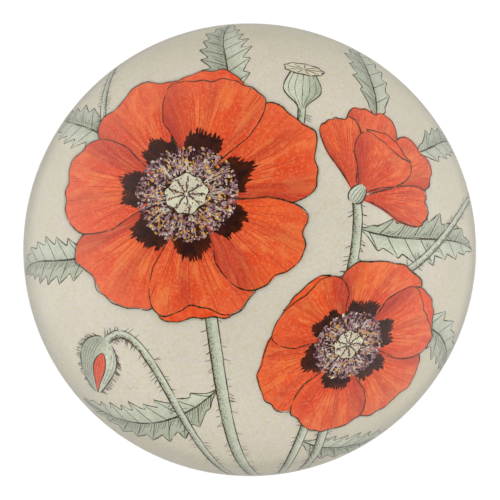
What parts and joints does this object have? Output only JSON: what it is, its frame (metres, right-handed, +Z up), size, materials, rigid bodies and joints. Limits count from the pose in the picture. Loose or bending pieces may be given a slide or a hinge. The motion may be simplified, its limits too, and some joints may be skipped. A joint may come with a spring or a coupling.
{
  "type": "domed glass paperweight",
  "caption": "Solid clear glass dome over a printed botanical sheet, with a felt pad beneath; stands flat on a desk and holds papers down.",
  "frame": {"origin": "centre of the felt's underside, where the paperweight rests", "axes": "+Z up along the dome's axis of symmetry; +Y is the top of the printed picture and +X its right"},
  "size_m": [0.0824, 0.0824, 0.036],
  "materials": {
    "clear_glass": "polished clear glass with a faint green-grey tint",
    "printed_paper": "matte cream paper with a printed, hand-coloured botanical design",
    "felt": "pressed charcoal felt"
  },
  "bodies": {
    "root": {"glass_dome": "clear_glass", "printed_sheet": "printed_paper", "felt_pad": "felt"}
  },
  "joints": []
}
